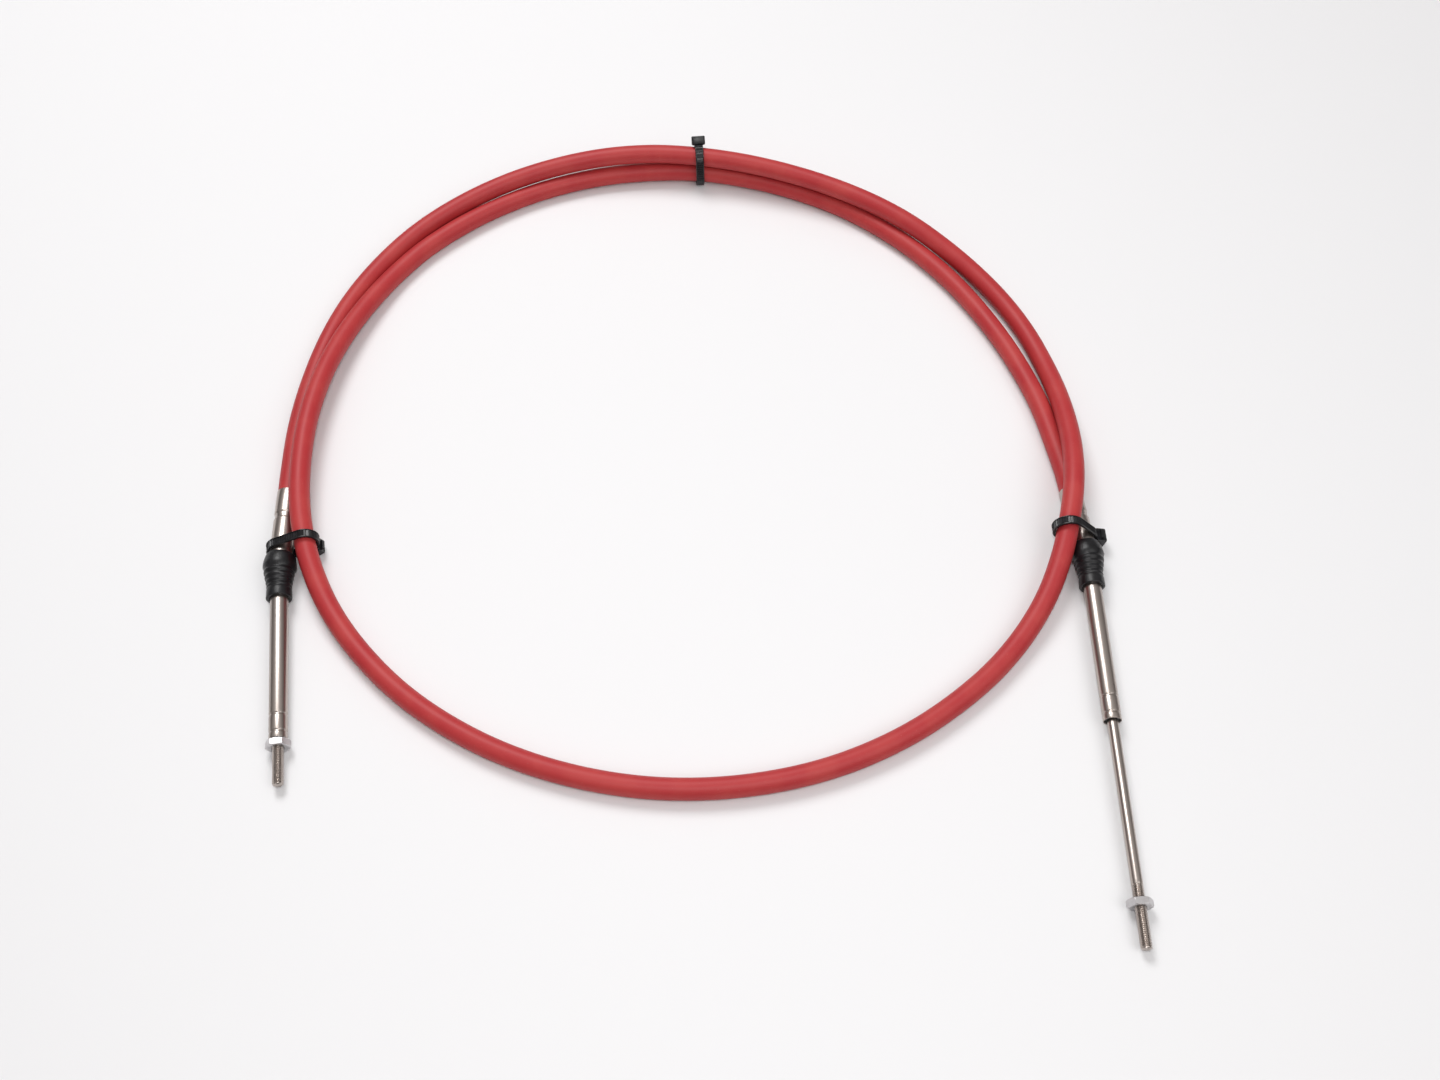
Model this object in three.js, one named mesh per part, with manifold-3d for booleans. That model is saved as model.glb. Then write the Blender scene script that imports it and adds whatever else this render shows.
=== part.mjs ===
import * as THREE from 'three';
import { mergeVertices } from 'three/addons/utils/BufferGeometryUtils.js';
import Module from 'manifold-3d';

// A push-pull control cable for a boat, coiled one and a half turns and held by three cable ties.
// Millimetres, +Z up. It lies on z = 0 with both end fittings pointing along -Y.

const wasm = await Module();
wasm.setup();

// Driving sizes

const gap = 0.3;                  // clearance between pieces that touch

const jacketDiameter = 9.5;
const jacketSides = 12;
const jacketSteps = 78;
const roundSides = 24;            // sides of every turned piece

const hubDiameter = 10.2;         // crimped conduit end
const hubTaper = 4;               // rise from the jacket's size to the hub's
const clampGrooveStart = 12.5;
const clampGrooveLength = 3.6;
const clampGrooveDepth = 0.35;
const hubPastBall = 3;            // the hub's rim beyond the ball's centre
const hubCavityDepth = 11;        // room behind the ball for the rod's inner end
const hubCavityRadius = 4;

const ballRadius = 4.1;
const neckRadius = 3.1;
const neckEnd = 8;                // from the ball's centre
const sleeveDiameter = 7.94;
const sleeveShoulder = 1;
const crimpLength = 11.5;         // rolled end of the sleeve
const crimpDepth = 0.18;
const crimpRing = 0.7;
const lipLength = 2.6;
const sleeveEdge = 0.5;

const wiperThickness = 0.6;       // seal in the sleeve's mouth
const wiperLength = 2;
const wiperRecess = 0.4;

const rodDiameter = 4.76;
const rodTravel = 76.2;
const rodInside = 6.5;            // what stays in the sleeve at full travel
const rodChamfer = 0.8;
const threadPastNut = 16.8;

const nutSides = 6;
const nutAcrossFlats = 9.53;
const nutThickness = 3.4;
const nutChamfer = 0.5;

const bootOverHub = 7;            // the boot's start, before the ball's centre
const bootLength = 22;
const bootStartRadius = 6.1;
const bootRadius = 7.2;
const bootShoulder = 6.5;
const bootCrest = 1;              // plain length between the shoulder and the ribs
const bootRibs = 4;
const ribPitch = 2.3;
const ribHeight = 0.45;
const ribTaper = 0.42;            // radius lost from rib to rib
const bootLipRadius = 5.25;
const bootWebAfterRim = 1.2;      // where the boot's wide room ends and its hold on the sleeve begins

const tieSlack = 0.4;             // between a tie and the round pieces in it
const strapWidth = 3.6;
const strapThickness = 1.1;
const tieHeadLength = 6;          // along the strap
const tieHeadWidth = 6;           // along the cable
const tieHeadHeight = 4.4;        // out from the cable

const loopCentre = { x: 1.26, y: 30.2 };

// Each end fitting: where the jacket meets the hub (from the loop's centre), the way the hub and the
// swung sleeve point (degrees from -Y, turning towards +X, and degrees below level), and its lengths.
// The nut stands off the sleeve by nutStandOff when the rod is in, and further by the travel when out.
const ends = {
  left: {
    x: -185.1, y: -31, z: 5.75, hubYaw: 3.3, hubDip: -2.1, sleeveYaw: 7.7, sleeveDip: 1.64,
    ballFromJacket: 42, sleeveLength: 82.6, nutStandOff: 0.5, rodOut: 0,
  },
  right: {
    x: 175.5, y: -30, z: 5.75, hubYaw: 5.5, hubDip: -2.4, sleeveYaw: 0.5, sleeveDip: 0.88,
    ballFromJacket: 37, sleeveLength: 79.8, nutStandOff: 1.1, rodOut: rodTravel,
  },
};

// The cable's route round the loop: [turn in degrees, radius, height of its middle]. It leaves the
// left hub, runs over the top and the right side, round the bottom, and over the top again inside
// itself to the right hub, riding up where it crosses a strand, a hub or a tie.
const stations = [
  [178, 186.4, 4.8], [170, 186.9, 4.8], [161, 188.8, 4.8], [153, 190.8, 4.8],
  [145, 192.0, 5.3], [137, 191.9, 7.0], [129, 189.9, 9.3], [121, 187.6, 11.2],
  [113, 184.9, 12.9], [105, 181.6, 14.8], [97, 178.0, 16.1], [89, 174.3, 16.6],
  [81, 171.8, 16.4], [73, 170.7, 15.5], [65, 170.5, 14.6], [57, 170.7, 13.95],
  [50, 171.3, 12.85], [43, 173.0, 9.9], [36, 175.3, 6.7], [29, 176.9, 4.95],
  [22, 177.4, 4.8], [15, 177.4, 5.4], [7.5, 177.1, 9.0], [0, 177.3, 12.9],
  [-6, 177.7, 15.5], [-11, 178.1, 16.4], [-16, 178.6, 15.3], [-22, 179.7, 11.9],
  [-29, 180.6, 8.0], [-37, 180.4, 5.3], [-46, 179.6, 4.8], [-58, 178.6, 4.8],
  [-70, 177.8, 4.8], [-82, 177.0, 4.8], [-94, 176.9, 4.8], [-106, 177.3, 4.8],
  [-118, 178.5, 4.8], [-130, 180.2, 4.8], [-140, 181.6, 5.0], [-149, 182.9, 6.6],
  [-157, 183.0, 9.2], [-164, 182.2, 11.6], [-171, 181.0, 13.0], [-180, 180.0, 13.1],
  [-187, 179.8, 12.3], [-194, 180.0, 10.8], [-201, 180.4, 8.8], [-208, 181.1, 6.8],
  [-215, 182.1, 5.1], [-222, 182.3, 4.8], [-232, 181.2, 4.8], [-242, 179.9, 4.8],
  [-252, 177.9, 5.4], [-261, 175.3, 6.3], [-271, 173.0, 6.75], [-281, 170.6, 6.3],
  [-290, 169.3, 5.3], [-299, 167.9, 4.8], [-309, 165.8, 4.8], [-319, 164.3, 4.8],
  [-328, 163.6, 4.8], [-338, 164.2, 4.8], [-346, 165.9, 4.8], [-353, 168.4, 4.8],
  [-360, 171.3, 5.0],
];
const straightIntoHub = 12;

// Where each tie stands: at a station of the route or along a hub, its plane's yaw, and how far round
// its head sits (both in degrees).
const ties = {
  top_tie: { station: 12, yaw: 6, head: 134 },
  left_tie: { end: 'left', fromJacket: 30.5, yaw: 10, head: -62 },
  right_tie: { end: 'right', fromJacket: 25, yaw: 1, head: -12 },
};
const tieReach = jacketDiameter * 2.6;   // how far from its middle a tie's strands may pass

// Materials

function finish(color, roughness, metalness) {
  return new THREE.MeshStandardMaterial({ color, roughness, metalness });
}

const jacketRed = finish(0xa8383c, 0.45, 0);
const stainless = finish(0xb9b3a8, 0.25, 1);
const plated = finish(0xd8d6d0, 0.2, 1);
const bootRubber = finish(0x17171a, 0.5, 0);
const sealRubber = finish(0x1d1c1c, 0.7, 0);
const nylon = finish(0x141416, 0.4, 0);

// Solids

// One closed shell: shared corners merged, flat faces dropped, all faces pointing out.
function closed(geometry) {
  for (const name of Object.keys(geometry.attributes)) {
    if (name !== 'position') geometry.deleteAttribute(name);
  }
  const welded = mergeVertices(geometry, 1e-4);
  const index = welded.index.array;
  const corner = [0, 1, 2].map(() => new THREE.Vector3());
  const kept = [];
  let volume = 0;
  for (let i = 0; i < index.length; i += 3) {
    const [a, b, c] = [index[i], index[i + 1], index[i + 2]];
    if (a === b || b === c || c === a) continue;
    [a, b, c].forEach((v, k) => corner[k].fromBufferAttribute(welded.attributes.position, v));
    volume += corner[0].dot(corner[1].clone().cross(corner[2]));
    kept.push(a, b, c);
  }
  if (volume < 0) kept.reverse();
  welded.setIndex(kept);
  return welded;
}

function toManifold(geometry) {
  return new wasm.Manifold(new wasm.Mesh({
    numProp: 3,
    vertProperties: new Float32Array(geometry.attributes.position.array),
    triVerts: new Uint32Array(geometry.index.array),
  }));
}

function toGeometry(solid) {
  const mesh = solid.getMesh();
  const geometry = new THREE.BufferGeometry();
  geometry.setAttribute('position', new THREE.BufferAttribute(mesh.vertProperties, 3));
  geometry.setIndex(new THREE.BufferAttribute(mesh.triVerts, 1));
  return geometry;
}

// A turned piece from [distance along -Y, radius] points, on the Y axis.
function turned(profile, sides = roundSides) {
  const lathe = new THREE.LatheGeometry(profile.map(([along, r]) => new THREE.Vector2(r, along)), sides);
  return closed(lathe.rotateZ(Math.PI));
}

function loop(profile) {
  return [...profile, profile[0]];
}

// Corners of a regular polygon.
function ring(radius, corners) {
  const points = [];
  for (let i = 0; i < corners; i++) {
    const angle = (i * 2 * Math.PI) / corners;
    points.push(new THREE.Vector2(radius * Math.cos(angle), radius * Math.sin(angle)));
  }
  return points;
}

function arc(middle, radius, from, to, steps) {
  const points = [];
  for (let i = 0; i <= steps; i++) {
    const angle = from + ((to - from) * i) / steps;
    points.push([middle + radius * Math.cos(angle), radius * Math.sin(angle)]);
  }
  return points;
}

// Turned pieces, each measured along its own axis

// From the jacket: taper, clamp groove, rim, then the socket and the room behind it.
function hubGeometry({ ballFromJacket }) {
  const r = hubDiameter / 2;
  const rim = ballFromJacket + hubPastBall;
  const socket = ballRadius + gap;
  const mouth = ballRadius - gap / 2;
  const mouthAngle = Math.asin(mouth / socket);
  const backAngle = Math.PI - Math.asin(hubCavityRadius / socket);
  const groove = clampGrooveStart;
  const ramp = clampGrooveDepth;
  return turned([
    [0, 0],
    [0, jacketDiameter / 2],
    [hubTaper, r],
    [groove, r],
    [groove + ramp, r - clampGrooveDepth],
    [groove + clampGrooveLength - ramp, r - clampGrooveDepth],
    [groove + clampGrooveLength, r],
    [rim, r],
    [rim, mouth],
    ...arc(ballFromJacket, socket, mouthAngle, backAngle, 6),
    [ballFromJacket - hubCavityDepth, hubCavityRadius],
    [ballFromJacket - hubCavityDepth, 0],
  ]);
}

// From the ball's centre: the ball, the neck, the plain tube and the rolled end with the seal's seat.
function sleeveGeometry({ sleeveLength }) {
  const r = sleeveDiameter / 2;
  const bore = rodDiameter / 2 + gap;
  const seat = bore + wiperThickness + gap;
  const seatDepth = wiperRecess + wiperLength + gap;
  const crimp = sleeveLength - crimpLength;
  const lip = sleeveLength - lipLength;
  return turned(loop([
    ...arc(0, ballRadius, Math.PI - Math.asin(bore / ballRadius), Math.asin(neckRadius / ballRadius), 7),
    [neckEnd, neckRadius],
    [neckEnd + sleeveShoulder, r],
    [crimp, r],
    [crimp + crimpDepth, r - crimpDepth],
    [crimp + crimpRing, r - crimpDepth],
    [crimp + crimpRing + crimpDepth, r],
    [lip - crimpRing - crimpDepth, r],
    [lip - crimpRing, r - crimpDepth],
    [lip - crimpDepth, r - crimpDepth],
    [lip, r],
    [sleeveLength - sleeveEdge, r],
    [sleeveLength, r - sleeveEdge],
    [sleeveLength, seat],
    [sleeveLength - seatDepth, seat],
    [sleeveLength - seatDepth, bore],
  ]));
}

function wiperGeometry({ sleeveLength }) {
  const inside = rodDiameter / 2 + gap;
  const outside = inside + wiperThickness;
  const front = sleeveLength - wiperRecess;
  return turned(loop([
    [front - wiperLength, inside],
    [front - wiperLength, outside],
    [front, outside],
    [front, inside],
  ]));
}

// The most that a nut stands off its sleeve, so that both rods come out alike.
function rodLength() {
  const standOff = Math.max(ends.left.nutStandOff, ends.right.nutStandOff);
  return rodInside + rodTravel + standOff + nutThickness + threadPastNut;
}

// From the rod's inner end, which is flat, to its chamfered tip.
function rodGeometry() {
  const r = rodDiameter / 2;
  const tip = rodLength();
  return turned([
    [0, 0],
    [0, r],
    [tip - rodChamfer, r],
    [tip, r - rodChamfer],
    [tip, 0],
  ]);
}

// A hexagonal prism with its corners turned off and a plain hole for the thread.
function nutGeometry() {
  const corner = nutAcrossFlats / 2 / Math.cos(Math.PI / nutSides);
  const hex = new THREE.Shape(ring(corner, nutSides));
  const prism = new THREE.ExtrudeGeometry(hex, { depth: nutThickness, bevelEnabled: false });
  prism.rotateX(Math.PI / 2);
  const turnedOff = turned([
    [0, 0],
    [0, corner - nutChamfer * 2],
    [nutChamfer, corner],
    [nutThickness - nutChamfer, corner],
    [nutThickness, corner - nutChamfer * 2],
    [nutThickness, 0],
  ], 48);
  const hole = rodDiameter / 2 + gap;
  const drill = turned([[-1, 0], [-1, hole], [nutThickness + 1, hole], [nutThickness + 1, 0]]);
  return toGeometry(toManifold(closed(prism)).intersect(toManifold(turnedOff)).subtract(toManifold(drill)));
}

// From the ball's centre: round shoulder over the hub's end, ribs, then the lip that grips the sleeve.
function bootGeometry(swing) {
  const start = -bootOverHub;
  const end = start + bootLength;
  const hubHole = hubDiameter / 2 + gap * 2;
  const sleeveHole = sleeveDiameter / 2 + gap;
  const hubRoom = hubPastBall + gap * 2;
  const firstRib = start + bootShoulder + bootCrest;
  const rise = bootRadius - bootStartRadius;
  const steps = 4;
  const profile = [[start, hubHole], [start, bootStartRadius]];
  for (let i = 1; i <= steps; i++) {
    const turn = (i * Math.PI) / 2 / steps;
    profile.push([start + bootShoulder * (1 - Math.cos(turn)), bootStartRadius + rise * Math.sin(turn)]);
  }
  for (let i = 0; i < bootRibs; i++) {
    const rib = firstRib + i * ribPitch;
    const r = bootRadius - i * ribTaper;
    profile.push([rib + ribPitch / 4, r - ribHeight], [rib + (ribPitch * 3) / 4, r - ribTaper]);
  }
  profile.push([firstRib + bootRibs * ribPitch, bootLipRadius]);
  profile.push([end, bootLipRadius], [end, sleeveHole]);
  profile.push([hubRoom + bootWebAfterRim, sleeveHole], [hubRoom, hubHole]);
  return closed(followSwing(turned(loop(profile)), swing));
}

// Bends a piece at the ball: it follows the hub as far as the ball, and the swung sleeve past its rim.
function followSwing(geometry, swing) {
  const places = geometry.attributes.position;
  const still = new THREE.Quaternion();
  for (let i = 0; i < places.count; i++) {
    const point = new THREE.Vector3().fromBufferAttribute(places, i);
    const share = THREE.MathUtils.smoothstep(-point.y, 0, hubPastBall * 2);
    point.applyQuaternion(still.clone().slerp(swing, share));
    places.setXYZ(i, point.x, point.y, point.z);
  }
  return geometry;
}

// Cable

function pointing(yaw, dip) {
  const turn = THREE.MathUtils.degToRad(yaw);
  const tip = THREE.MathUtils.degToRad(dip);
  return new THREE.Quaternion().setFromEuler(new THREE.Euler(tip, 0, turn, 'ZYX'));
}

function along(quaternion, distance) {
  return new THREE.Vector3(0, -distance, 0).applyQuaternion(quaternion);
}

function atStation(turn, radius, height) {
  const angle = THREE.MathUtils.degToRad(turn);
  return new THREE.Vector3(radius * Math.cos(angle), radius * Math.sin(angle), height);
}

function hubStart(end) {
  return new THREE.Vector3(end.x, end.y, end.z);
}

function cableRoute() {
  const intoHub = (end, back) => hubStart(end).sub(along(pointing(end.hubYaw, end.hubDip), back));
  const points = stations.map((station) => atStation(...station));
  points.unshift(intoHub(ends.left, gap), intoHub(ends.left, straightIntoHub));
  points.push(intoHub(ends.right, straightIntoHub), intoHub(ends.right, gap));
  return new THREE.CatmullRomCurve3(points);
}

function jacketGeometry(route) {
  const section = new THREE.Shape(ring(jacketDiameter / 2, jacketSides));
  return closed(new THREE.ExtrudeGeometry(section, { steps: jacketSteps, extrudePath: route }));
}

// Cable ties

// A belt drawn tight round two circles, at a distance from both.
function beltPoints(circles, distance) {
  const steps = 48;
  const points = [];
  for (let i = 0; i < steps; i++) {
    const angle = (i * 2 * Math.PI) / steps;
    const way = new THREE.Vector2(Math.cos(angle), Math.sin(angle));
    const reach = (circle) => circle.middle.dot(way) + circle.radius;
    const outer = circles.reduce((a, b) => (reach(a) > reach(b) ? a : b));
    points.push(way.clone().multiplyScalar(outer.radius + distance).add(outer.middle));
  }
  return points;
}

// The strap's closed loop with its square head standing on it, as moulded in one piece.
function tieGeometry(circles, headAngle) {
  const belt = new THREE.Shape(beltPoints(circles, tieSlack + strapThickness));
  belt.holes.push(new THREE.Path(beltPoints(circles, tieSlack)));
  const strap = new THREE.ExtrudeGeometry(belt, { depth: strapWidth, bevelEnabled: false });
  strap.translate(0, 0, -strapWidth / 2);
  const way = new THREE.Vector2(Math.cos(headAngle), Math.sin(headAngle));
  const reach = (circle) => circle.middle.dot(way) + circle.radius;
  const under = circles.reduce((a, b) => (reach(a) > reach(b) ? a : b));
  const head = new THREE.BoxGeometry(tieHeadHeight, tieHeadLength, tieHeadWidth);
  head.translate(tieHeadHeight / 2, 0, 0);
  head.rotateZ(headAngle);
  const seat = way.multiplyScalar(under.radius + tieSlack).add(under.middle);
  head.translate(seat.x, seat.y, 0);
  return toGeometry(toManifold(closed(strap)).add(toManifold(closed(head))).subtract(innerRoom(circles)));
}

// The room that the tie goes round, which its head keeps clear of.
function innerRoom(circles) {
  const room = new THREE.ExtrudeGeometry(new THREE.Shape(beltPoints(circles, tieSlack)), {
    depth: tieHeadWidth * 2,
    bevelEnabled: false,
  });
  return toManifold(closed(room.translate(0, 0, -tieHeadWidth)));
}

// Stands the tie's drawing upright, with its x axis across the cable and its y axis up.
function standing(yaw) {
  const across = new THREE.Vector3(Math.cos(yaw), Math.sin(yaw), 0);
  const up = new THREE.Vector3(0, 0, 1);
  return new THREE.Matrix4().makeBasis(across, up, across.clone().cross(up));
}

// Where the cable passes through a tie's plane, no further from its middle than reach.
function strandsThrough(route, inPlane, reach) {
  const points = route.getPoints(stations.length * 12);
  const seen = points.map((p) => p.clone().applyMatrix4(inPlane));
  const found = [];
  for (let i = 1; i < points.length; i++) {
    const [before, after] = [seen[i - 1], seen[i]];
    if (before.z * after.z > 0 || Math.hypot(after.x, after.y) > reach) continue;
    const middle = before.clone().lerp(after, before.z / (before.z - after.z));
    found.push(roundPiece(middle, after.clone().sub(before), jacketDiameter / 2));
  }
  return found;
}

// A round piece takes more of the strap's width when it leans through it.
function roundPiece(middle, way, radius) {
  const lean = Math.acos(Math.abs(way.z) / way.length());
  const room = radius / Math.cos(lean) + (strapWidth / 2) * Math.tan(lean);
  return { middle: new THREE.Vector2(middle.x, middle.y), radius: room };
}

// Round both strands at the top of the loop.
function topTie(route) {
  const { station, yaw, head } = ties.top_tie;
  const [turn, radius] = stations[station - 1];
  const matrix = standing(THREE.MathUtils.degToRad(turn + 180 + yaw));
  matrix.setPosition(atStation(turn, radius, 0));
  const strands = strandsThrough(route, matrix.clone().invert(), tieReach);
  return tieMesh(strands, head, matrix);
}

// Round a hub and the strand that lies beside it.
function hubTie(route, tie) {
  const end = ends[tie.end];
  const hubWay = pointing(end.hubYaw, end.hubDip);
  const middle = hubStart(end).add(along(hubWay, tie.fromJacket));
  const matrix = standing(THREE.MathUtils.degToRad(tie.yaw)).setPosition(middle.x, middle.y, 0);
  const inPlane = matrix.clone().invert();
  const way = along(hubWay, 1).transformDirection(inPlane);
  const hub = roundPiece(middle.clone().applyMatrix4(inPlane), way, hubDiameter / 2);
  return tieMesh([hub, ...strandsThrough(route, inPlane, tieReach)], tie.head, matrix);
}

function tieMesh(circles, headTurn, matrix) {
  const tie = new THREE.Mesh(tieGeometry(circles, THREE.MathUtils.degToRad(headTurn)), nylon);
  tie.applyMatrix4(matrix);
  return tie;
}

// Assembly

function named(name, mesh) {
  mesh.name = name;
  return mesh;
}

// One end: the hub, the boot over its ball joint, and the swung sleeve with its seal, rod and nut.
function endFitting(side) {
  const end = ends[side];
  const hubWay = pointing(end.hubYaw, end.hubDip);
  const sleeveWay = pointing(end.sleeveYaw, end.sleeveDip);
  const swing = hubWay.clone().invert().multiply(sleeveWay);
  const fitting = new THREE.Group();
  fitting.position.copy(hubStart(end));
  fitting.quaternion.copy(hubWay);
  fitting.add(named(`${side}_hub`, new THREE.Mesh(hubGeometry(end), stainless)));

  const joint = new THREE.Group();
  joint.position.y = -end.ballFromJacket;
  joint.add(named(`${side}_boot`, new THREE.Mesh(bootGeometry(swing), bootRubber)));
  fitting.add(joint);

  const swung = new THREE.Group();
  swung.quaternion.copy(swing);
  swung.add(named(`${side}_sleeve`, new THREE.Mesh(sleeveGeometry(end), stainless)));
  swung.add(named(`${side}_wiper`, new THREE.Mesh(wiperGeometry(end), sealRubber)));
  const nutAt = end.sleeveLength + end.nutStandOff + end.rodOut;
  const rod = new THREE.Mesh(rodGeometry(), stainless);
  rod.position.y = -(nutAt + nutThickness + threadPastNut - rodLength());
  swung.add(named(`${side}_rod`, rod));
  const nut = new THREE.Mesh(nutGeometry(), plated);
  nut.position.y = -nutAt;
  swung.add(named(`${side}_nut`, nut));
  joint.add(swung);
  return fitting;
}

function build() {
  const cable = new THREE.Group();
  cable.position.set(loopCentre.x, loopCentre.y, 0);
  const route = cableRoute();
  cable.add(named('cable_jacket', new THREE.Mesh(jacketGeometry(route), jacketRed)));
  cable.add(endFitting('left'), endFitting('right'));
  cable.add(named('top_tie', topTie(route)));
  cable.add(named('left_tie', hubTie(route, ties.left_tie)));
  cable.add(named('right_tie', hubTie(route, ties.right_tie)));
  cable.updateMatrixWorld(true);
  return cable;
}

const group = build();

export default group;
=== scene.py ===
import math

import bmesh
import bpy
from mathutils import Euler, Matrix, Vector, noise


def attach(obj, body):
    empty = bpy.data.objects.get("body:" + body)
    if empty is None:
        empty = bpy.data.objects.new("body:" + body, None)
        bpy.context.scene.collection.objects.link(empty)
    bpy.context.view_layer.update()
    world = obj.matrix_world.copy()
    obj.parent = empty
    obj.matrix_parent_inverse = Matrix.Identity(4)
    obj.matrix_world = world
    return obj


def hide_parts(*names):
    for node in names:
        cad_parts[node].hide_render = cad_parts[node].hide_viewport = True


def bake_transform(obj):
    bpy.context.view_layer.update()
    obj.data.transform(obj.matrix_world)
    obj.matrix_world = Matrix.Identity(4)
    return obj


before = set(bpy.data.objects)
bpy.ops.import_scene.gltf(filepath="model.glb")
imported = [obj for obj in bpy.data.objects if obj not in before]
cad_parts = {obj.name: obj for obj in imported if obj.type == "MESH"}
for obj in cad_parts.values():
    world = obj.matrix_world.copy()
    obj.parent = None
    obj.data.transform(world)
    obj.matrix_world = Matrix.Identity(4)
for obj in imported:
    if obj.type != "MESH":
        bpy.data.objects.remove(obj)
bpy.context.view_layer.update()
mm = 0.001
print("frame loaded")


# Camera, standing over the loop's near side and looking down on it

cameraSetting = {
    "place": (15.26, -402.8, 608.75),  # mm
    "pitch": 58,                       # degrees below level
    "lens": 39.25,
    "sensor": 36,
}


def makeCamera():
    data = bpy.data.cameras.new("camera")
    data.lens = cameraSetting["lens"]
    data.sensor_width = cameraSetting["sensor"]
    camera = bpy.data.objects.new("camera", data)
    camera.location = Vector(cameraSetting["place"]) * mm
    camera.rotation_euler = (math.radians(90 - cameraSetting["pitch"]), 0, 0)
    bpy.context.scene.collection.objects.link(camera)
    bpy.context.scene.camera = camera


makeCamera()
print("camera ready")


# Shader nodes

# A socket that takes part in Python sums: each sum adds its Math node to the tree.
class Wire:
    def __init__(self, tree, socket=None):
        self.tree = tree
        self.socket = socket

    # Adds any node: its settings first, then its sockets, as values or as other wires.
    def add(self, kind, settings=None, sockets=None, output=0):
        node = self.tree.nodes.new(kind)
        for name, value in (settings or {}).items():
            if name == "stops":
                setStops(node.color_ramp, value)
            else:
                setattr(node, name, value)
        for name, value in (sockets or {}).items():
            if isinstance(value, Wire):
                self.tree.links.new(value.socket, node.inputs[name])
            else:
                node.inputs[name].default_value = value
        return Wire(self.tree, node.outputs[output])

    def maths(self, operation, *values):
        return self.add("ShaderNodeMath", {"operation": operation}, dict(enumerate(values)))

    def __add__(self, other):
        return self.maths("ADD", self, other)

    def __sub__(self, other):
        return self.maths("SUBTRACT", self, other)

    def __mul__(self, other):
        return self.maths("MULTIPLY", self, other)

    def __rsub__(self, other):
        return self.maths("SUBTRACT", other, self)

    __radd__ = __add__
    __rmul__ = __mul__

    # Zero below low, one above high.
    def rising(self, low, high):
        span = {"From Min": low, "From Max": high, "Value": self}
        return self.add("ShaderNodeMapRange", {"interpolation_type": "SMOOTHSTEP"}, span)


def setStops(ramp, stops):
    while len(ramp.elements) < len(stops):
        ramp.elements.new(0.5)
    for element, (place, color) in zip(ramp.elements, stops):
        element.position = place
        element.color = (*color, 1)


# A material whose constants are set on the shader itself; dress adds what varies.
def makeMaterial(name, constants, dress):
    material = bpy.data.materials.new(name)
    material.use_nodes = True
    tree = material.node_tree
    tree.nodes.clear()
    shader = tree.nodes.new("ShaderNodeBsdfPrincipled")
    for socket, value in constants.items():
        shader.inputs[socket].default_value = value
    output = tree.nodes.new("ShaderNodeOutputMaterial")
    tree.links.new(shader.outputs[0], output.inputs["Surface"])
    for socket, wire in dress(Wire(tree)).items():
        tree.links.new(wire.socket, shader.inputs[socket])
    return material


# The piece's own coordinates: y along its axis, x and z across, in metres.
def grain(wire, stretch=(1, 1, 1)):
    own = wire.add("ShaderNodeAttribute", {"attribute_name": "grain"}, output=1)
    return own.add("ShaderNodeMapping", None, {"Vector": own, "Scale": stretch})


def noiseAt(vector, scale, detail=3, roughness=0.5):
    sockets = {"Vector": vector, "Scale": scale, "Detail": detail, "Roughness": roughness}
    return vector.add("ShaderNodeTexNoise", None, sockets)


def mixColor(factor, one, other):
    sockets = {0: factor, 6: one, 7: other}
    return factor.add("ShaderNodeMix", {"data_type": "RGBA"}, sockets, output=2)


def bump(height, distance, strength=1.0, normal=None):
    sockets = {"Height": height, "Distance": distance, "Strength": strength}
    if normal:
        sockets["Normal"] = normal
    return height.add("ShaderNodeBump", None, sockets)


jacketLook = {
    "red": (0.42, 0.030, 0.034, 1),
    "faded": (0.48, 0.054, 0.050, 1),
    "dusty": (0.42, 0.17, 0.16, 1),
    "roughness": 0.38,
    "patches": 60,          # how fine each noise is
    "drawn": 900,
    "specks": 1300,
    "skin": 500,
}


def dressJacket(wire):
    own = grain(wire)
    patches = noiseAt(own, jacketLook["patches"], 4)
    draw = noiseAt(grain(wire, (1, 0.02, 1)), jacketLook["drawn"], 2)   # fine lines along the jacket
    specks = noiseAt(own, jacketLook["specks"], 2).rising(0.66, 0.78)
    color = mixColor(patches.rising(0.35, 0.75) * 0.7, jacketLook["red"], jacketLook["faded"])
    color = mixColor(specks * 0.3, color, jacketLook["dusty"])
    rough = jacketLook["roughness"] + patches * 0.12 + draw * 0.08 + specks * 0.2
    lines = bump(draw, 0.00002, 0.5)
    skin = bump(noiseAt(own, jacketLook["skin"], 3), 0.00003, 0.4, lines)
    return {"Base Color": color, "Roughness": rough, "Normal": skin}


steelLook = {
    "bright": (0.53, 0.47, 0.43, 1),
    "dull": (0.35, 0.31, 0.285, 1),
    "roughness": 0.19,
    "streaks": 1400,
    "clouds": 110,
    "nicks": 2200,
}


# Drawn and polished stainless: lengthwise streaks, a warm cast and handling marks.
def dressSteel(wire):
    own = grain(wire)
    streaks = noiseAt(grain(wire, (1, 0.015, 1)), steelLook["streaks"], 3)
    clouds = noiseAt(own, steelLook["clouds"], 4)
    nicks = noiseAt(grain(wire, (1, 0.25, 1)), steelLook["nicks"], 2).rising(0.68, 0.8)
    dulled = streaks.rising(0.3, 0.75) * 0.5 + clouds * 0.4
    color = mixColor(dulled, steelLook["bright"], steelLook["dull"])
    rough = steelLook["roughness"] + streaks * 0.14 + clouds * 0.1 + nicks * 0.2
    skin = bump(streaks, 0.000012, 0.6)
    return {"Base Color": color, "Roughness": rough, "Normal": bump(nicks, 0.00001, 0.5, skin)}


platedLook = {
    "bright": (0.60, 0.585, 0.59, 1),
    "dull": (0.40, 0.385, 0.39, 1),
    "roughness": 0.28,
    "clouds": 350,
    "scratches": 900,
}


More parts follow.
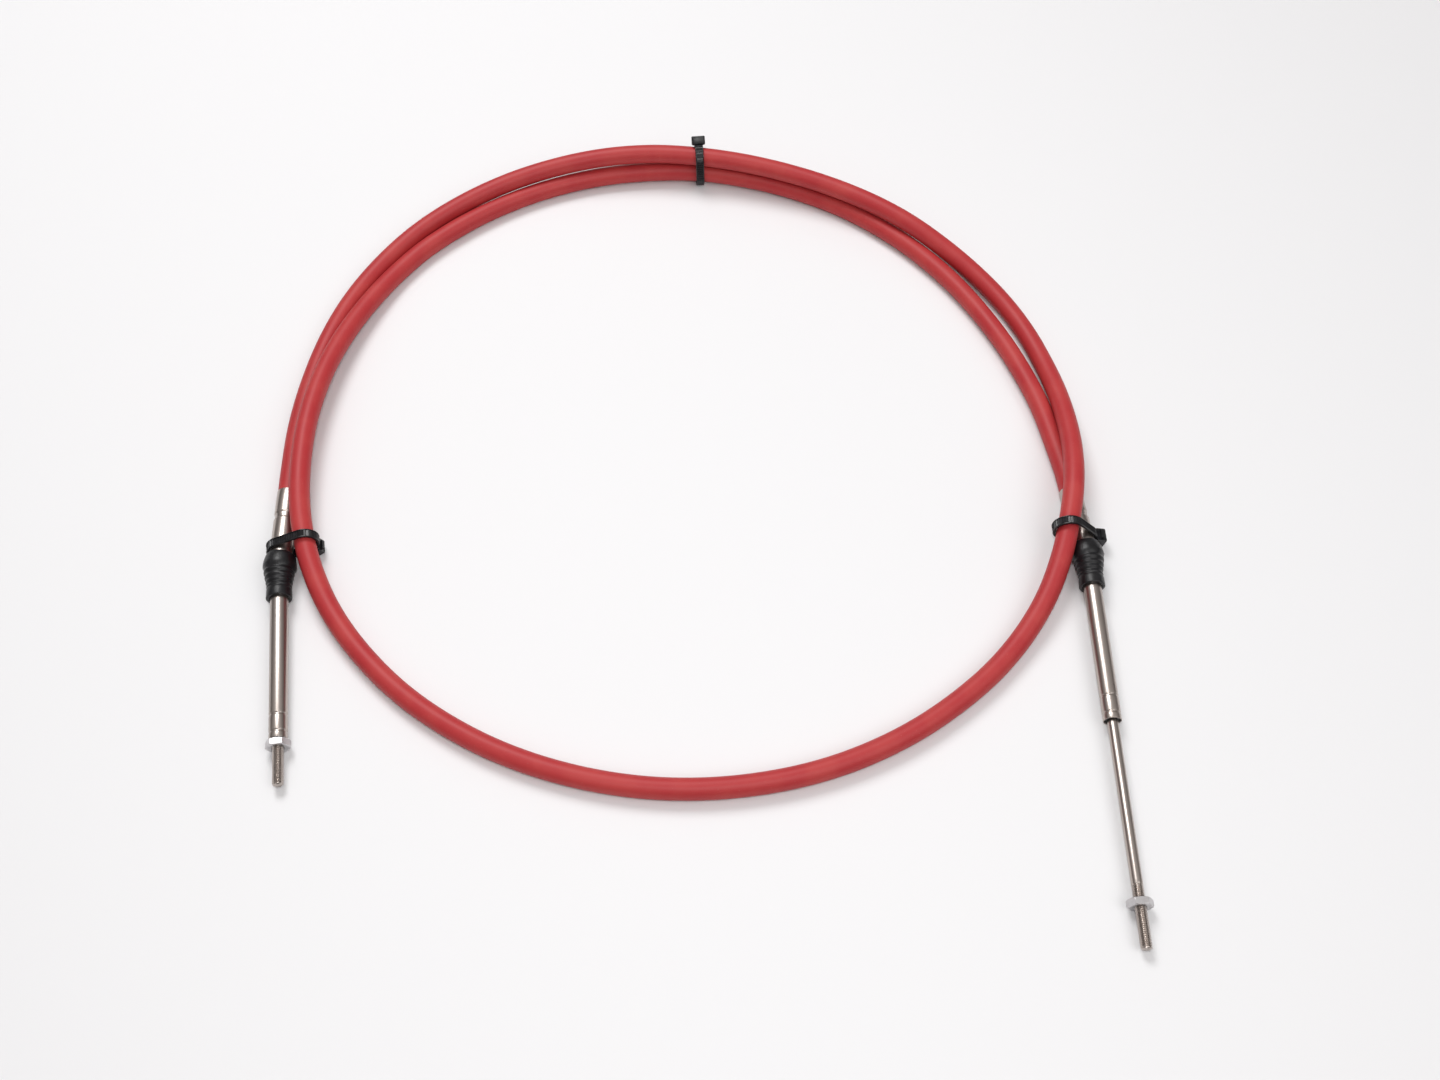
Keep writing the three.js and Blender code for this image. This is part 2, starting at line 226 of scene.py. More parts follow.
def dressPlated(wire):
    own = grain(wire)
    clouds = noiseAt(own, platedLook["clouds"], 4)
    scratches = noiseAt(grain(wire, (1, 6, 1)), platedLook["scratches"], 2).rising(0.62, 0.75)
    color = mixColor(clouds.rising(0.4, 0.8) * 0.6, platedLook["bright"], platedLook["dull"])
    rough = platedLook["roughness"] + clouds * 0.12 + scratches * 0.15
    return {"Base Color": color, "Roughness": rough, "Normal": bump(scratches, 0.00001, 0.6)}


rubberLook = {
    "black": (0.004, 0.004, 0.005, 1),
    "grey": (0.012, 0.012, 0.014, 1),
    "roughness": 0.27,
    "clouds": 260,
    "skin": 1500,
}


def dressRubber(wire):
    own = grain(wire)
    clouds = noiseAt(own, rubberLook["clouds"], 4)
    skin = noiseAt(own, rubberLook["skin"], 3, 0.6)
    color = mixColor(clouds.rising(0.35, 0.8), rubberLook["black"], rubberLook["grey"])
    rough = rubberLook["roughness"] + clouds * 0.18
    return {"Base Color": color, "Roughness": rough, "Normal": bump(skin, 0.00016, 0.6)}


nylonLook = {
    "black": (0.004, 0.004, 0.005, 1),
    "worn": (0.013, 0.013, 0.016, 1),
    "roughness": 0.26,
    "clouds": 420,
    "skin": 1800,
}


def dressNylon(wire):
    own = grain(wire)
    clouds = noiseAt(own, nylonLook["clouds"], 3)
    color = mixColor(clouds.rising(0.4, 0.75), nylonLook["black"], nylonLook["worn"])
    rough = nylonLook["roughness"] + clouds * 0.15
    skin = noiseAt(own, nylonLook["skin"], 2)
    return {"Base Color": color, "Roughness": rough, "Normal": bump(skin, 0.00004, 0.4)}


jacketPlastic = makeMaterial("jacket_plastic", {"IOR": 1.5, "Specular IOR Level": 0.32}, dressJacket)
stainless = makeMaterial("drawn_stainless", {"Metallic": 1.0}, dressSteel)
plated = makeMaterial("plated_steel", {"Metallic": 1.0}, dressPlated)
rubber = makeMaterial("boot_rubber", {"IOR": 1.52, "Specular IOR Level": 0.38}, dressRubber)
nylon = makeMaterial("tie_nylon", {"IOR": 1.53, "Specular IOR Level": 0.42}, dressNylon)
print("materials ready")


# Pieces

# Turns a finished bmesh into a piece, its place in its mesh, with its own coordinates kept as grain.
def makePiece(name, bm, matrix, material, sharpAngle=38):
    layer = bm.verts.layers.float_vector.get("grain")
    if layer is None:
        layer = bm.verts.layers.float_vector.new("grain")
        for vert in bm.verts:
            vert[layer] = vert.co
    bmesh.ops.transform(bm, matrix=matrix, verts=bm.verts)
    mesh = bpy.data.meshes.new(name)
    bm.to_mesh(mesh)
    bm.free()
    mesh.materials.append(material)
    mesh.polygons.foreach_set("use_smooth", [True] * len(mesh.polygons))
    mesh.set_sharp_from_angle(angle=math.radians(sharpAngle))
    piece = bpy.data.objects.new(name, mesh)
    bpy.context.scene.collection.objects.link(piece)
    return piece


# Hides the imported part that a piece stands for and hangs the piece on the body it moves with.
def settle(piece, node, body):
    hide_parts(node)
    if body:
        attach(piece, body)
    return piece


# A profile of [along, radius, rounding] points in mm, with its corners rounded off.
def rounded(profile, usual=0.0, steps=3):
    points = [Vector(point[:2]) for point in profile]
    made = [points[0]]
    for i in range(1, len(points) - 1):
        rounding = profile[i][2] if len(profile[i]) > 2 else usual
        back = points[i - 1] - points[i]
        on = points[i + 1] - points[i]
        reach = min(rounding, back.length * 0.49, on.length * 0.49)
        if reach < 1e-4:
            made.append(points[i])
            continue
        start = points[i] + back.normalized() * reach
        end = points[i] + on.normalized() * reach
        for step in range(steps + 1):
            share = step / steps
            made.append(start.lerp(points[i], share).lerp(points[i].lerp(end, share), share))
    made.append(points[-1])
    return made


# A turned piece on the y axis, pointing along -y, from its profile. Closed ones join up with themselves.
def turn(profile, steps=64, closed=False):
    bm = bmesh.new()
    verts = [bm.verts.new((point.y * mm, -point.x * mm, 0)) for point in profile]
    for one, other in zip(verts, verts[1:]):
        bm.edges.new((one, other))
    if closed:
        bm.edges.new((verts[-1], verts[0]))
    bmesh.ops.spin(
        bm, geom=bm.verts[:] + bm.edges[:], cent=(0, 0, 0), axis=(0, 1, 0),
        dvec=(0, 0, 0), angle=2 * math.pi, steps=steps, use_merge=True, use_duplicate=False,
    )
    bmesh.ops.remove_doubles(bm, verts=bm.verts, dist=1e-6)
    bmesh.ops.recalc_face_normals(bm, faces=bm.faces)
    return bm


# Where things stand, in mm and degrees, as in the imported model

loopCentre = Vector((1.26, 30.2, 0))

ends = {
    "left": {
        "start": (-185.1, -31, 5.75), "hubYaw": 3.3, "hubDip": -2.1, "sleeveYaw": 7.7, "sleeveDip": 1.64,
        "ballFromJacket": 42, "sleeveLength": 82.6, "rodShows": 0.5,
    },
    "right": {
        "start": (175.5, -30, 5.75), "hubYaw": 5.5, "hubDip": -2.4, "sleeveYaw": 0.5, "sleeveDip": 0.88,
        "ballFromJacket": 37, "sleeveLength": 79.8, "rodShows": 77.3,
    },
}


def pointing(yaw, dip):
    return Euler((math.radians(dip), 0, math.radians(yaw))).to_matrix().to_4x4()


def hubPlace(end):
    start = (loopCentre + Vector(end["start"])) * mm
    return Matrix.Translation(start) @ pointing(end["hubYaw"], end["hubDip"])


def ballPlace(end):
    ball = hubPlace(end) @ Vector((0, -end["ballFromJacket"] * mm, 0))
    return Matrix.Translation(ball) @ pointing(end["sleeveYaw"], end["sleeveDip"])


# Jacketed cable

# Turn in degrees, radius and height in mm of the cable's middle, round the loop's centre.
cableStations = [
    (178, 186.4, 4.8), (170, 186.9, 4.8), (161, 188.8, 4.8), (153, 190.8, 4.8),
    (145, 192.0, 5.3), (137, 191.9, 7.0), (129, 189.9, 9.3), (121, 187.6, 11.2),
    (113, 184.9, 12.9), (105, 181.6, 14.8), (97, 178.0, 16.1), (89, 174.3, 16.6),
    (81, 171.8, 16.4), (73, 170.7, 15.5), (65, 170.5, 14.6), (57, 170.7, 13.95),
    (50, 171.3, 12.85), (43, 173.0, 9.9), (36, 175.3, 6.7), (29, 176.9, 4.95),
    (22, 177.4, 4.8), (15, 177.4, 5.4), (7.5, 177.1, 9.0), (0, 177.3, 12.9),
    (-6, 177.7, 15.5), (-11, 178.1, 16.4), (-16, 178.6, 15.3), (-22, 179.7, 11.9),
    (-29, 180.6, 8.0), (-37, 180.4, 5.3), (-46, 179.6, 4.8), (-58, 178.6, 4.8),
    (-70, 177.8, 4.8), (-82, 177.0, 4.8), (-94, 176.9, 4.8), (-106, 177.3, 4.8),
    (-118, 178.5, 4.8), (-130, 180.2, 4.8), (-140, 181.6, 5.0), (-149, 182.9, 6.6),
    (-157, 183.0, 9.2), (-164, 182.2, 11.6), (-171, 181.0, 13.0), (-180, 180.0, 13.1),
    (-187, 179.8, 12.3), (-194, 180.0, 10.8), (-201, 180.4, 8.8), (-208, 181.1, 6.8),
    (-215, 182.1, 5.1), (-222, 182.3, 4.8), (-232, 181.2, 4.8), (-242, 179.9, 4.8),
    (-252, 177.9, 5.4), (-261, 175.3, 6.3), (-271, 173.0, 6.75), (-281, 170.6, 6.3),
    (-290, 169.3, 5.3), (-299, 167.9, 4.8), (-309, 165.8, 4.8), (-319, 164.3, 4.8),
    (-328, 163.6, 4.8), (-338, 164.2, 4.8), (-346, 165.9, 4.8), (-353, 168.4, 4.8),
    (-360, 171.3, 5.0),
]

cable = {
    "diameter": 9.5,
    "sides": 32,
    "stepsBetween": 11,
    "straightIntoHub": 12,
    "insideHub": 1.6,
    "edge": 0.35,
}


def stationPlace(turned, radius, height):
    angle = math.radians(turned)
    return (loopCentre + Vector((radius * math.cos(angle), radius * math.sin(angle), height))) * mm


# A centripetal Catmull-Rom step between start and finish.
def between(before, start, finish, after, share):
    first, middle, last = (math.sqrt((b - a).length) for a, b in
                           ((before, start), (start, finish), (finish, after)))
    span = finish - start
    leaving = ((start - before) / first - (finish - before) / (first + middle) + span / middle) * middle
    arriving = (span / middle - (after - start) / (middle + last) + (after - finish) / last) * middle
    return (start + leaving * share + (3 * span - 2 * leaving - arriving) * share ** 2
            + (leaving + arriving - 2 * span) * share ** 3)


def cableRoute():
    points = [stationPlace(*station) for station in cableStations]
    into = [-cable["insideHub"], cable["straightIntoHub"]]
    leftHub, rightHub = (hubPlace(ends[side]) for side in ("left", "right"))
    points = [leftHub @ Vector((0, back * mm, 0)) for back in into] + points
    points += [rightHub @ Vector((0, back * mm, 0)) for back in reversed(into)]
    route = []
    padded = [2 * points[0] - points[1]] + points + [2 * points[-1] - points[-2]]
    for i in range(1, len(points)):
        for step in range(cable["stepsBetween"]):
            route.append(between(*padded[i - 1:i + 3], step / cable["stepsBetween"]))
    route.append(points[-1])
    return route


# Sweeps a circle along the route, one extruded ring at a time.
def sweepCable(route):
    radius = cable["diameter"] / 2 * mm
    bm = bmesh.new()
    layer = bm.verts.layers.float_vector.new("grain")
    ring = bmesh.ops.create_circle(bm, cap_ends=False, radius=radius, segments=cable["sides"])["verts"]
    for vert in ring:
        vert[layer] = (vert.co.x, 0, vert.co.y)
    edges = bm.edges[:]
    side = Vector((1, 0, 0))
    travelled = 0
    for i, place in enumerate(route):
        way = (route[min(i + 1, len(route) - 1)] - route[max(i - 1, 0)]).normalized()
        side = (side - way * side.dot(way)).normalized()
        up = way.cross(side)
        if i:
            travelled += (place - route[i - 1]).length
            made = bmesh.ops.extrude_edge_only(bm, edges=edges)["geom"]
            ring = [item for item in made if isinstance(item, bmesh.types.BMVert)]
            edges = [item for item in made if isinstance(item, bmesh.types.BMEdge)
                     and all(vert in ring for vert in item.verts)]
        for vert in ring:
            x, y, z = vert[layer]
            vert.co = place + side * x + up * z
            vert[layer] = (x, travelled, z)
    bmesh.ops.holes_fill(bm, edges=bm.edges, sides=cable["sides"])
    bmesh.ops.recalc_face_normals(bm, faces=bm.faces)
    return bm, travelled


route = cableRoute()
cableMesh, cableLength = sweepCable(route)
jacket = makePiece("jacket", cableMesh, Matrix.Identity(4), jacketPlastic)
settle(jacket, "cable_jacket", "root")
print("cable ready, length", round(cableLength, 4))


# Hubs, crimped on the jacket's ends

hub = {
    "radius": 5.1,
    "taper": 4,             # from the jacket to full size
    "lip": 5.0,             # outer radius at the jacket
    "bore": 4.81,
    "boreDepth": 2.2,
    "groove": 12.5,         # clamp groove: start, length, depth
    "grooveLength": 3.6,
    "grooveDepth": 0.42,
    "pastBall": 3,
    "ball": 4.25,
    "mouthLip": 0.35,
    "socketFrom": 45,       # degrees round the socket from its mouth
    "socketStep": 16.2,
    "socketPoints": 7,
    "cavityDepth": 11,
    "cavityRadius": 4,
}


def makeHub(side):
    end = ends[side]
    r = hub["radius"]
    rim = end["ballFromJacket"] + hub["pastBall"]
    groove, depth = hub["groove"], hub["grooveDepth"]
    profile = [(hub["boreDepth"], 0), (hub["boreDepth"], hub["bore"]), (0.3, hub["bore"], 0.1),
               (0, hub["lip"], 0.1), (hub["taper"], r, 0.6)]
    profile += [(groove, r, 0.2), (groove + depth, r - depth, 0.25),
                (groove + hub["grooveLength"] - depth, r - depth, 0.25),
                (groove + hub["grooveLength"], r, 0.2),
                (rim, r, 0.35), (rim, hub["ball"] - hub["mouthLip"], 0.2)]
    for step in range(hub["socketPoints"]):
        angle = math.radians(hub["socketFrom"] + step * hub["socketStep"])
        profile.append((end["ballFromJacket"] + hub["ball"] * math.cos(angle), hub["ball"] * math.sin(angle)))
    back = end["ballFromJacket"] - hub["cavityDepth"]
    profile += [(back, hub["cavityRadius"]), (back, 0)]
    piece = makePiece(f"{side}_socket_hub", turn(rounded(profile)), hubPlace(end), stainless)
    return settle(piece, f"{side}_hub", "root")


# Sleeves: ball, neck, tube and rolled end

sleeve = {
    "radius": 3.97,
    "ball": 4.1,
    "ballSteps": 10,
    "neck": 3.1,
    "neckEnd": 8,
    "bore": 2.68,
    "crimp": 11.5,          # rolled end's length
    "crimpDepth": 0.26,
    "crimpRing": 1.1,
    "lip": 2.6,
    "edge": 0.55,
    "seat": 3.58,           # radius of the seal's seat
    "seatDepth": 2.7,
}


def makeSleeve(side):
    end = ends[side]
    r, length = sleeve["radius"], end["sleeveLength"]
    crimp, lip = length - sleeve["crimp"], length - sleeve["lip"]
    ring, depth = sleeve["crimpRing"], sleeve["crimpDepth"]
    profile = []
    boreAngle = math.pi - math.asin(sleeve["bore"] / sleeve["ball"])
    neckAngle = math.asin(sleeve["neck"] / sleeve["ball"])
    for step in range(sleeve["ballSteps"] + 1):
        angle = boreAngle + (neckAngle - boreAngle) * step / sleeve["ballSteps"]
        profile.append((sleeve["ball"] * math.cos(angle), sleeve["ball"] * math.sin(angle)))
    profile += [(sleeve["neckEnd"], sleeve["neck"], 0.3), (sleeve["neckEnd"] + 1, r, 0.3)]
    for start in (crimp, lip - ring):
        profile += [(start, r, 0.12), (start + depth, r - depth, 0.15),
                    (start + ring - depth, r - depth, 0.15), (start + ring, r, 0.12)]
    seatEnd = length - sleeve["seatDepth"]
    profile += [(length, r, sleeve["edge"]), (length, sleeve["seat"], 0.1), (seatEnd, sleeve["seat"]),
                (seatEnd, sleeve["bore"]), profile[0]]
    bm = turn(rounded(profile))
    piece = makePiece(f"{side}_support_tube", bm, ballPlace(end), stainless)
    return settle(piece, f"{side}_sleeve", f"{side}_support")


wiper = {"inside": 2.5, "outside": 3.5, "front": 0.35, "length": 2, "lip": 0.35}


def makeWiper(side):
    end = ends[side]
    front = end["sleeveLength"] - wiper["front"]
    back = front - wiper["length"]
    profile = [(back, wiper["inside"] + 0.1), (back, wiper["outside"]), (front - 0.3, wiper["outside"], 0.2),
               (front, wiper["outside"] - 0.3, 0.2), (front - 0.25, wiper["inside"] + 0.4, 0.2),
               (front + 0.1, wiper["inside"], 0.15), (back, wiper["inside"] + 0.1)]
    piece = makePiece(f"{side}_wiper_seal", turn(rounded(profile), 48), ballPlace(end), rubber)
    return settle(piece, f"{side}_wiper", f"{side}_support")


# Rods, with a rolled thread towards the tip

rod = {
    "radius": 2.38,
    "length": 104,
    "pastNut": 16.8,
    "threadLength": 27,
    "pitch": 0.794,
    "threadDepth": 0.42,
    "crestShare": 0.15,     # of half a pitch
    "flankShare": 0.7,
    "fadePitches": 2,
    "stepsPerPitch": 8,
    "chamfer": 0.75,
    "nut": 3.4,
}


def rodProfile():
    r, tip = rod["radius"], rod["length"]
    profile = [(0, 0), (0, r, 0.2), (tip - rod["threadLength"] - 1, r)]
    step = rod["pitch"] / rod["stepsPerPitch"]
    count = int((rod["threadLength"] - rod["chamfer"]) / step)
    for i in range(count):
        profile.append((tip - rod["threadLength"] + i * step, r))
    profile += [(tip - rod["chamfer"], r), (tip - rod["chamfer"] / 2, r - rod["chamfer"] / 3),
                (tip - 0.1, r - rod["chamfer"]), (tip, r - rod["chamfer"] - 0.2), (tip, 0)]
    return profile


# How deep the thread is cut at a place on the rod: 0 on a crest, 1 in a root.
def threadCut(distance, angle):
    phase = (distance / rod["pitch"] - angle / (2 * math.pi)) % 1
    cut = min(max((1 - abs(2 * phase - 1) - rod["crestShare"]) / rod["flankShare"], 0), 1)
    start = rod["length"] - rod["threadLength"]
    fadeIn = min(max((distance - start) / (rod["fadePitches"] * rod["pitch"]), 0), 1)
    return cut * fadeIn


def makeRod(side):
    end = ends[side]
    tip = end["sleeveLength"] + end["rodShows"] + rod["nut"] + rod["pastNut"]
    bm = turn(rounded(rodProfile()), 48)
    for vert in bm.verts:
        distance = -vert.co.y / mm
        spread = math.hypot(vert.co.x, vert.co.z) / mm
        if distance < rod["length"] - rod["threadLength"] or spread < rod["radius"] - rod["chamfer"] - 0.1:
            continue
        cut = threadCut(distance, math.atan2(vert.co.z, vert.co.x)) * rod["threadDepth"]
        size = min(spread, rod["radius"] - cut) / spread
        vert.co.x *= size
        vert.co.z *= size
    place = ballPlace(end) @ Matrix.Translation((0, (rod["length"] - tip) * mm, 0))
    piece = makePiece(f"{side}_threaded_rod", bm, place, stainless, 50)
    return settle(piece, f"{side}_rod", f"{side}_slider")


# Jam nuts

nut = {
    "acrossFlats": 9.53,
    "thickness": 3.4,
    "chamferAngle": 26,
    "chamferStart": 4.45,   # radius where the corners begin to be turned off
    "bore": 2.1,
    "countersink": 2.65,
    "countersinkDepth": 0.45,
    "edge": 0.1,
    "stepsPerFlat": 10,
    "turned": {"left": 0, "right": 3},   # degrees that a flat stands off level
}


def hexRadius(angle):
    sector = math.pi / 3
    return nut["acrossFlats"] / 2 / math.cos((angle % sector) - sector / 2)


def makeNut(side):
    end = ends[side]
    bm = bmesh.new()
    sides = 6 * nut["stepsPerFlat"]
    slope = math.tan(math.radians(nut["chamferAngle"]))
    thick = nut["thickness"]
    start = end["sleeveLength"] + end["rodShows"]
    turned = math.radians(nut["turned"][side])
    angles = bm.verts.layers.float.new("angle")
    ring = bmesh.ops.create_circle(bm, cap_ends=False, radius=1, segments=sides)["verts"]
    for vert in ring:
        vert[angles] = math.atan2(vert.co.y, vert.co.x)
    edges = bm.edges[:]

    def drop(angle):
        return max(hexRadius(angle) - nut["chamferStart"], 0) * slope

    # Each ring as (along, radius) for an angle, from one bore mouth round the outside to the other.
    rings = [
        lambda a: (nut["countersinkDepth"], nut["bore"]),
        lambda a: (0, nut["countersink"]),
        lambda a: (0, nut["chamferStart"]),
        lambda a: (drop(a), hexRadius(a)),
        lambda a: (thick - drop(a), hexRadius(a)),
        lambda a: (thick, nut["chamferStart"]),
        lambda a: (thick, nut["countersink"]),
        lambda a: (thick - nut["countersinkDepth"], nut["bore"]),
    ]
    first = edges
    for i, place in enumerate(rings):
        if i:
            made = bmesh.ops.extrude_edge_only(bm, edges=edges)["geom"]
            ring = [item for item in made if isinstance(item, bmesh.types.BMVert)]
            edges = [item for item in made if isinstance(item, bmesh.types.BMEdge)
                     and all(vert in ring for vert in item.verts)]
        for vert in ring:
            along, radius = place(vert[angles])
            angle = vert[angles] + turned
            vert.co = Vector((radius * math.cos(angle), -(start + along), radius * math.sin(angle))) * mm
    bmesh.ops.bridge_loops(bm, edges=first + edges)
    bmesh.ops.recalc_face_normals(bm, faces=bm.faces)
    piece = makePiece(f"{side}_jam_nut", bm, ballPlace(end), plated, 20)
    soften = piece.modifiers.new("soften", "BEVEL")
    soften.width = nut["edge"] * mm
    soften.segments = 2
    soften.limit_method = "ANGLE"
    soften.angle_limit = math.radians(25)
    return settle(piece, f"{side}_nut", f"{side}_slider")


# Boots over the swivel balls: shoulder, ribs and a lip that grips the sleeve

boot = {
    "start": -7,            # from the ball's centre
    "length": 22,
    "hubHole": 5.25,
    "sleeveHole": 4.1,
    "startRadius": 6.0,
    "radius": 7.35,
    "shoulder": 6.5,
    "crest": 1,
    "ribs": 4,
    "ribPitch": 2.3,
    "ribHeight": 0.8,
    "ribTaper": 0.42,
    "lipRadius": 5.6,
    "hubRoom": 3.8,         # where the wide bore ends, past the ball's centre
    "grip": 5,              # where the hold on the sleeve begins
    "wrinkle": 0.13,
    "creases": (320, 520, 320),
    "seed": {"left": 3.1, "right": 7.7},
    "swingLength": 6,       # past the ball, over which it takes up the sleeve's way
}


def bootProfile():
    start = boot["start"]
    end = start + boot["length"]
    firstRib = start + boot["shoulder"] + boot["crest"]
    rise = boot["radius"] - boot["startRadius"]
    profile = [(boot["hubRoom"], boot["hubHole"]), (start, boot["hubHole"], 0.3),
               (start, boot["startRadius"], 0.5)]
    for step in range(1, 9):
        angle = step * math.pi / 16
        profile.append((start + boot["shoulder"] * (1 - math.cos(angle)),
                        boot["startRadius"] + rise * math.sin(angle)))
    for i in range(boot["ribs"]):
        rib = firstRib + i * boot["ribPitch"]
        r = boot["radius"] - i * boot["ribTaper"]
        profile.append((rib + boot["ribPitch"] * 0.3, r - boot["ribHeight"] - boot["ribTaper"] / 2, 0.5))
        profile.append((rib + boot["ribPitch"] * 0.8, r - boot["ribTaper"], 0.8))
    waist = firstRib + boot["ribs"] * boot["ribPitch"]
    profile += [(waist + 0.2, boot["lipRadius"] - 0.35, 0.5), (waist + 1.2, boot["lipRadius"], 0.5),
                (end, boot["lipRadius"] + 0.1, 0.5), (end, boot["sleeveHole"], 0.3),
                (boot["grip"], boot["sleeveHole"]), (boot["hubRoom"], boot["hubHole"])]
    return profile


def makeBoot(side):
    end = ends[side]
    bm = turn(rounded(bootProfile(), steps=4), 72)
    layer = bm.verts.layers.float_vector.new("grain")
    hubTurn = pointing(end["hubYaw"], end["hubDip"]).to_quaternion()
    sleeveTurn = pointing(end["sleeveYaw"], end["sleeveDip"]).to_quaternion()
    seed = Vector((0, boot["seed"][side], 0))
    for vert in bm.verts:
        vert[layer] = vert.co
        spread = math.hypot(vert.co.x, vert.co.z) / mm
        if spread > boot["hubHole"] + 0.3:
            crease = noise.noise(vert.co * Vector(boot["creases"]) + seed)
            size = 1 + crease * boot["wrinkle"] / spread
            vert.co.x *= size
            vert.co.z *= size
        share = min(max(-vert.co.y / mm / boot["swingLength"], 0), 1)
        share = share * share * (3 - 2 * share)
        vert.co.rotate(hubTurn.slerp(sleeveTurn, share))
    ball = ballPlace(end).to_translation()
    piece = makePiece(f"{side}_bellows_boot", bm, Matrix.Translation(ball), rubber, 60)
    settle(piece, f"{side}_boot", None)
    way = hubPlace(end).to_3x3() @ Vector((0, -1, 0))
    ball + way * boot["swingLength"] * mm
    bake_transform(piece)
    return piece


makers = (makeHub, makeSleeve, makeWiper, makeRod, makeNut, makeBoot)
fittings = [make(side) for side in ends for make in makers]
print("end fittings ready")


# Cable ties: a toothed strap drawn round the strands, its locking head and its cut tail

tie = {
    "slack": 0.4,
    "width": 4.2,
    "thickness": 1.1,
    "corner": 0.2,
    "rail": 0.45,           # plain edge beside the teeth
    "tooth": 1.2,
    "toothDepth": 0.4,
    "stepsPerTooth": 4,
    "head": (5.0, 6.9, 6.9),   # out from the cable, along the strap, along the cable
    "headBevel": 0.9,
    "crownRecess": (1.5, 0.5),   # margin and depth
    "mouthRecess": (1.1, 0.6),
    "reach": 24.7,
    "tail": 1.4,
    "tailInHead": 0.8,
}

ties = {
    "top_tie": {"turn": 89, "radius": 174.3, "yaw": 6, "head": 134},
    "left_tie": {"end": "left", "fromJacket": 30.5, "yaw": 10, "head": -62},
    "right_tie": {"end": "right", "fromJacket": 25, "yaw": 1, "head": -12},
}


# A tie's drawing plane: x across the cable, y up, z along the cable.
def standing(yaw, place):
    across = Vector((math.cos(yaw), math.sin(yaw), 0))
    up = Vector((0, 0, 1))
    matrix = Matrix((across, up, across.cross(up))).transposed().to_4x4()
    return Matrix.Translation((place.x, place.y, 0)) @ matrix


# The circle that a round piece needs inside the strap, wider when it leans through it.
def roundPiece(middle, way, radius):
    lean = math.acos(min(abs(way.z) / way.length, 1))
    return Vector((middle.x, middle.y)), radius / math.cos(lean) + tie["width"] / 2 * mm * math.tan(lean)


def strandsThrough(place):
    inPlane = place.inverted()
    seen = [inPlane @ point for point in route]
    found = []
    for before, after in zip(seen, seen[1:]):
        if before.z * after.z > 0 or math.hypot(after.x, after.y) > tie["reach"] * mm:
            continue
        middle = before.lerp(after, before.z / (before.z - after.z))
        found.append(roundPiece(middle, after - before, cable["diameter"] / 2 * mm))
    return found


def outermost(circles, way):
    return max(circles, key=lambda circle: circle[0].dot(way) + circle[1])


# The strap's inner line, as evenly spaced points with the way out from each.
def beltLine(circles, distance):
    corners = []
    for i in range(360):
        way = Vector((math.cos(math.radians(i)), math.sin(math.radians(i))))
        middle, radius = outermost(circles, way)
        corners.append(middle + way * (radius + distance))
    lengths = [(b - a).length for a, b in zip(corners, corners[1:] + corners[:1])]
    total = sum(lengths)
    count = round(total / (tie["tooth"] * mm)) * tie["stepsPerTooth"]
    line, passed, corner = [], 0, 0
    for i in range(count):
        goal = total * i / count
        while passed + lengths[corner] < goal:
            passed += lengths[corner]
            corner += 1
        share = (goal - passed) / lengths[corner]
        line.append(corners[corner].lerp(corners[(corner + 1) % 360], share))
    made = []
    for i, point in enumerate(line):
        along = (line[(i + 1) % count] - line[i - 1]).normalized()
        made.append((point, Vector((along.y, -along.x))))
    return made


def strapSection(cut):
    half, thick, corner = tie["width"] / 2, tie["thickness"], tie["corner"]
    inner = half - tie["rail"]
    return [(0, corner - half), (corner, -half), (thick - corner, -half), (thick, corner - half),
            (thick, -inner), (thick - cut, -inner + 0.05), (thick - cut, inner - 0.05), (thick, inner),
            (thick, half - corner), (thick - corner, half), (corner, half), (0, half - corner)]


def addStrap(bm, layer, circles):
    line = beltLine(circles, tie["slack"] * mm)
    steps = tie["stepsPerTooth"]
    loops = []
    for i, (point, out) in enumerate(line):
        cut = tie["toothDepth"] * (0.25 + 0.75 * (i % steps) / (steps - 1))
        verts = []
        for outward, side in strapSection(cut):
            place = point + out * outward * mm
            vert = bm.verts.new((place.x, place.y, side * mm))
            vert[layer] = (side * mm, i * tie["tooth"] / steps * mm, outward * mm)
            verts.append(vert)
        loops.append([bm.edges.new(pair) for pair in zip(verts, verts[1:] + verts[:1])])
    for one, other in zip(loops, loops[1:] + loops[:1]):
        bmesh.ops.bridge_loops(bm, edges=one + other)


